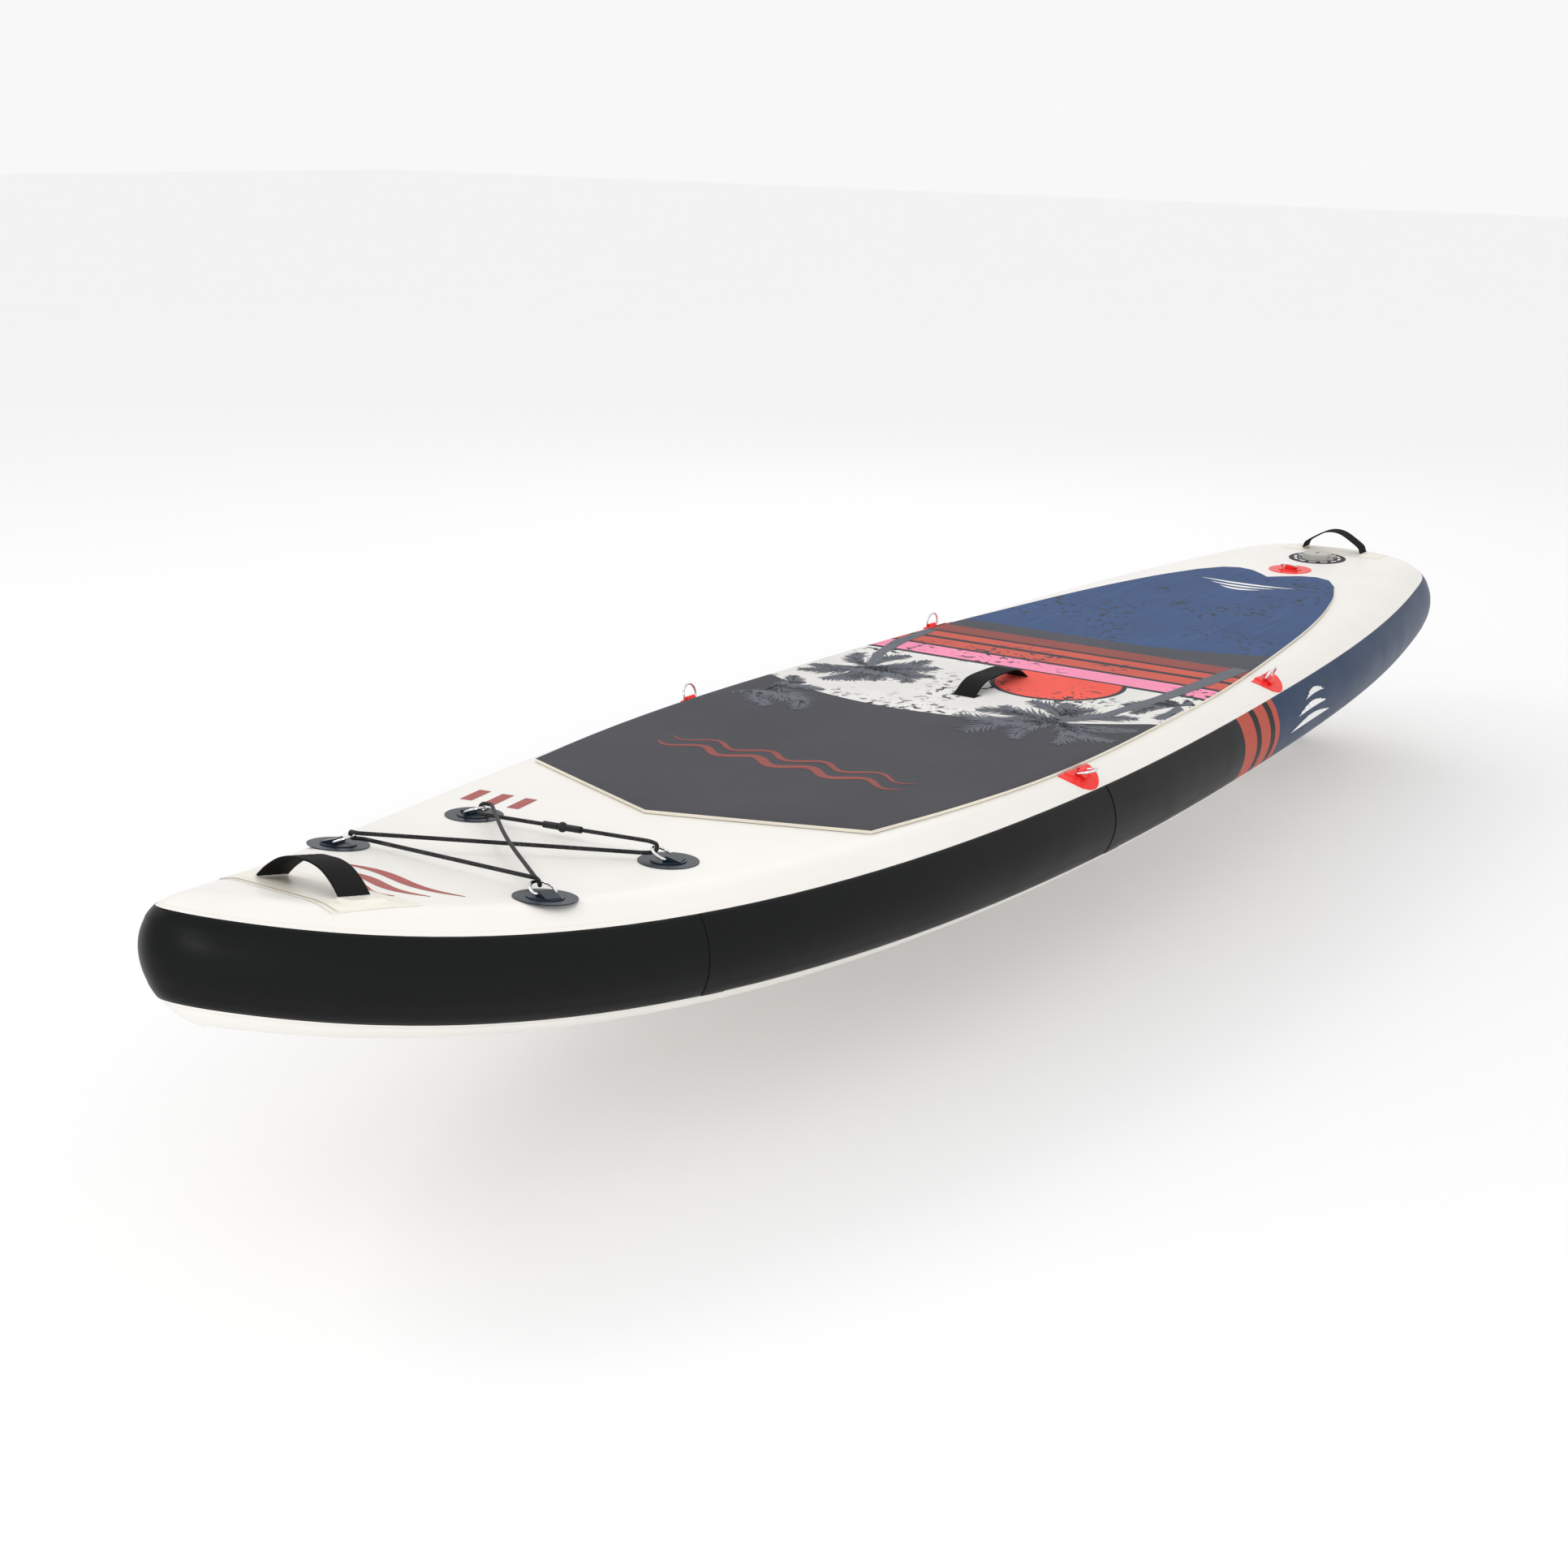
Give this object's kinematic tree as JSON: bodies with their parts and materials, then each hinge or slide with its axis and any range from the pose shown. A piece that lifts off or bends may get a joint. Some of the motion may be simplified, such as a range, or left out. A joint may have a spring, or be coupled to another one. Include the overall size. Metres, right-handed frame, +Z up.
{
  "type": "inflatable stand up paddleboard",
  "caption": "Long inflatable board with a rounded nose, foam deck pad, bungee, webbing handles, ring patches, inflation valve and a sliding centre fin between two fixed ones.",
  "frame": {"origin": "under the middle of the board, level with the lowest point of the centre fin", "axes": "+X towards the nose, +Y to port, +Z up from the fin to the deck"},
  "size_m": [3.2001, 0.7612, 0.4356],
  "materials": {
    "white_pvc": "satin coated fabric",
    "black_rail": "satin coated fabric",
    "navy_rail": "satin coated fabric",
    "inner_tape": "matte",
    "thread": "matte",
    "foam_pad": "matte brushed foam",
    "slate_pvc": "satin",
    "red_pvc": "gloss",
    "stainless_steel": "polished",
    "spring_steel": "bright",
    "webbing": "ribbed weave",
    "cord": "braided",
    "black_plastic": "matte",
    "label": "printed",
    "seal_rubber": "matte",
    "valve_plastic": "moulded",
    "fin_plastic": "satin"
  },
  "bodies": {
    "board": {"bottom_skin": "white_pvc", "bungee_cord": "cord", "bungee_joiner_ball": "black_plastic", "bungee_joiner_barrels": "black_plastic", "bungee_nose_port_patch": "slate_pvc", "bungee_nose_port_ring": "stainless_steel", "bungee_nose_starboard_patch": "slate_pvc", "bungee_nose_starboard_ring": "stainless_steel", "bungee_tail_port_patch": "slate_pvc", "bungee_tail_port_ring": "stainless_steel", "bungee_tail_starboard_patch": "slate_pvc", "bungee_tail_starboard_ring": "stainless_steel", "centre_handle_patches": "white_pvc", "centre_handle_webbing": "webbing", "deck_pad": "foam_pad", "deck_skin": "white_pvc", "drop_stitch_threads": "thread", "fin_box": "black_plastic", "fin_box_patch": "white_pvc", "inner_rail_nose": "inner_tape", "inner_rail_tail": "inner_tape", "leash_patch": "red_pvc", "nose_handle_patch": "white_pvc", "nose_handle_webbing": "webbing", "rail_middle_port": "black_rail", "rail_middle_starboard": "black_rail", "rail_nose": "black_rail", "rail_tail": "navy_rail", "side_fin_patch_port": "white_pvc", "side_fin_patch_starboard": "white_pvc", "side_fin_port": "fin_plastic", "side_fin_starboard": "fin_plastic", "side_patch_aft_port": "red_pvc", "side_patch_aft_starboard": "red_pvc", "side_patch_fore_port": "red_pvc", "side_patch_fore_starboard": "red_pvc", "tail_handle_patch": "white_pvc", "tail_handle_webbing": "webbing", "valve_body": "valve_plastic", "valve_cap_pin": "stainless_steel", "valve_label_ring": "label", "valve_nut": "valve_plastic", "valve_spring": "spring_steel"},
    "side_ring_fore_port": {"side_ring_fore_port": "stainless_steel"},
    "side_ring_fore_starboard": {"side_ring_fore_starboard": "stainless_steel"},
    "side_ring_aft_port": {"side_ring_aft_port": "stainless_steel"},
    "side_ring_aft_starboard": {"side_ring_aft_starboard": "stainless_steel"},
    "leash_ring": {"leash_ring": "stainless_steel"},
    "valve_plunger": {"valve_stem": "valve_plastic", "valve_seal": "seal_rubber"},
    "valve_cap": {"valve_cap": "valve_plastic"},
    "fin": {"centre_fin": "fin_plastic", "fin_pin": "stainless_steel", "fin_nut_plate": "stainless_steel", "fin_screw": "stainless_steel"}
  },
  "joints": [
    {"name": "side_ring_fore_port_hinge", "type": "hinge", "parent": "board", "child": "side_ring_fore_port", "pos_m": [0.24721, 0.33811, 0.33445], "axis": [-0.9998, 0.0189, 0], "range_deg": [-125, 25]},
    {"name": "side_ring_fore_starboard_hinge", "type": "hinge", "parent": "board", "child": "side_ring_fore_starboard", "pos_m": [0.24721, -0.33811, 0.33445], "axis": [0.9998, 0.0189, 0], "range_deg": [-60, 90]},
    {"name": "side_ring_aft_port_hinge", "type": "hinge", "parent": "board", "child": "side_ring_aft_port", "pos_m": [-0.4345, 0.31713, 0.33828], "axis": [-0.9982, -0.0597, 0], "range_deg": [-80, 70]},
    {"name": "side_ring_aft_starboard_hinge", "type": "hinge", "parent": "board", "child": "side_ring_aft_starboard", "pos_m": [-0.4345, -0.31713, 0.33828], "axis": [0.9982, -0.0597, 0], "range_deg": [-45, 105]},
    {"name": "leash_ring_hinge", "type": "hinge", "parent": "board", "child": "leash_ring", "pos_m": [-1.26988, 0, 0.36006], "axis": [0, -1, 0], "range_deg": [-23, 125]},
    {"name": "valve_stem_press", "type": "slide", "parent": "board", "child": "valve_plunger", "axis": [-0.0252, 0, -0.9997], "range_m": [0, 0.004], "stiffness_N_per_m": 400, "springref_m": -0.004, "deforming": ["valve_spring"]},
    {"name": "valve_cap_hinge", "type": "hinge", "parent": "board", "child": "valve_cap", "pos_m": [-1.40682, 0.033, 0.36538], "axis": [-0.9997, 0, 0.0252], "range_deg": [0, 150]},
    {"name": "fin_slide", "type": "slide", "parent": "board", "child": "fin", "axis": [0.9997, 0, -0.0231], "range_m": [-0.045, 0.045]}
  ]
}
